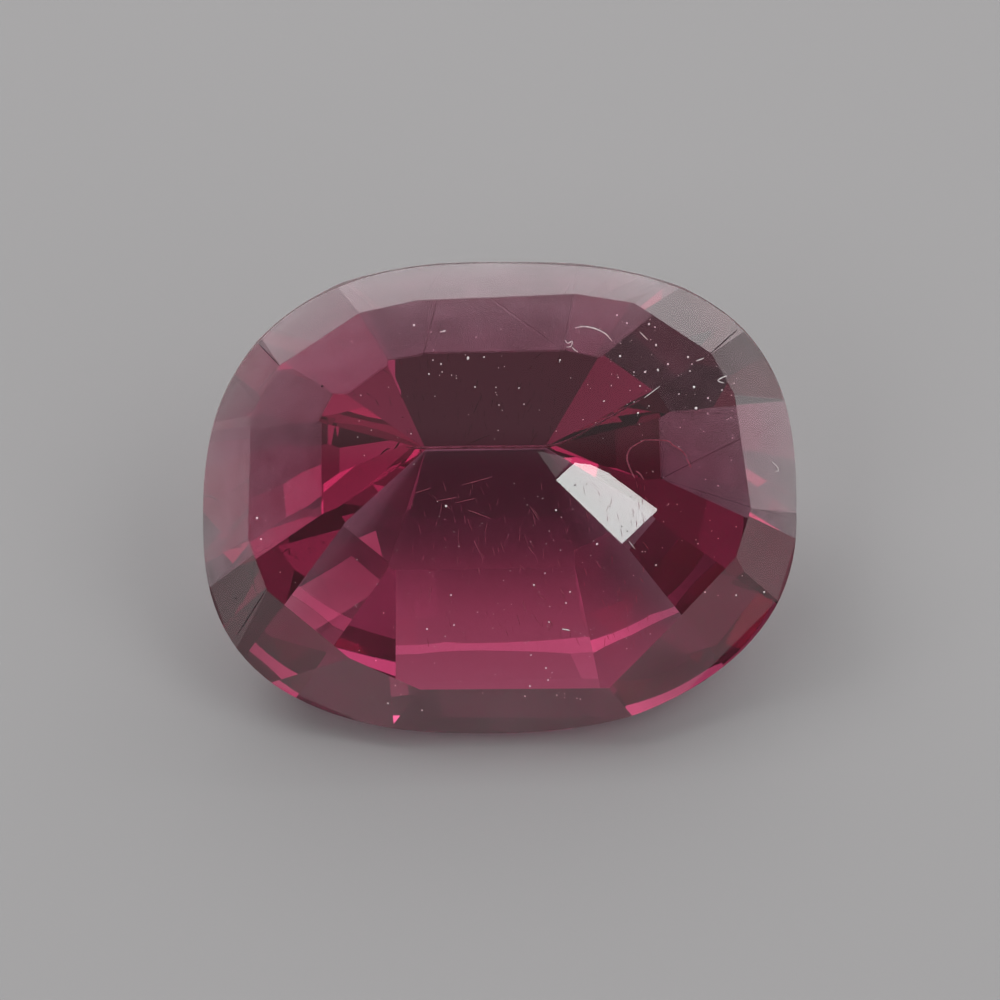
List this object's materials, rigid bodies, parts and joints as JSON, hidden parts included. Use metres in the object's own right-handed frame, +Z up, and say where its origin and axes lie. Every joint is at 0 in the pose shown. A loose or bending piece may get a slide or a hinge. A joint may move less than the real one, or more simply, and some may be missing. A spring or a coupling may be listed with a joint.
{
  "type": "rubellite tourmaline, loose faceted stone",
  "caption": "Loose cushion-cut rubellite tourmaline, clear purplish red, lying on a lower facet with its table tilted up.",
  "frame": {"origin": "middle of the stone's box, at the height of the facet that it lies on", "axes": "+X along the stone's length, +Z up, the table tilted towards -Y"},
  "size_m": [0.012, 0.0076, 0.0066],
  "materials": {
    "tourmaline": "polished"
  },
  "bodies": {
    "root": {"rubellite_tourmaline": "tourmaline"}
  },
  "joints": []
}
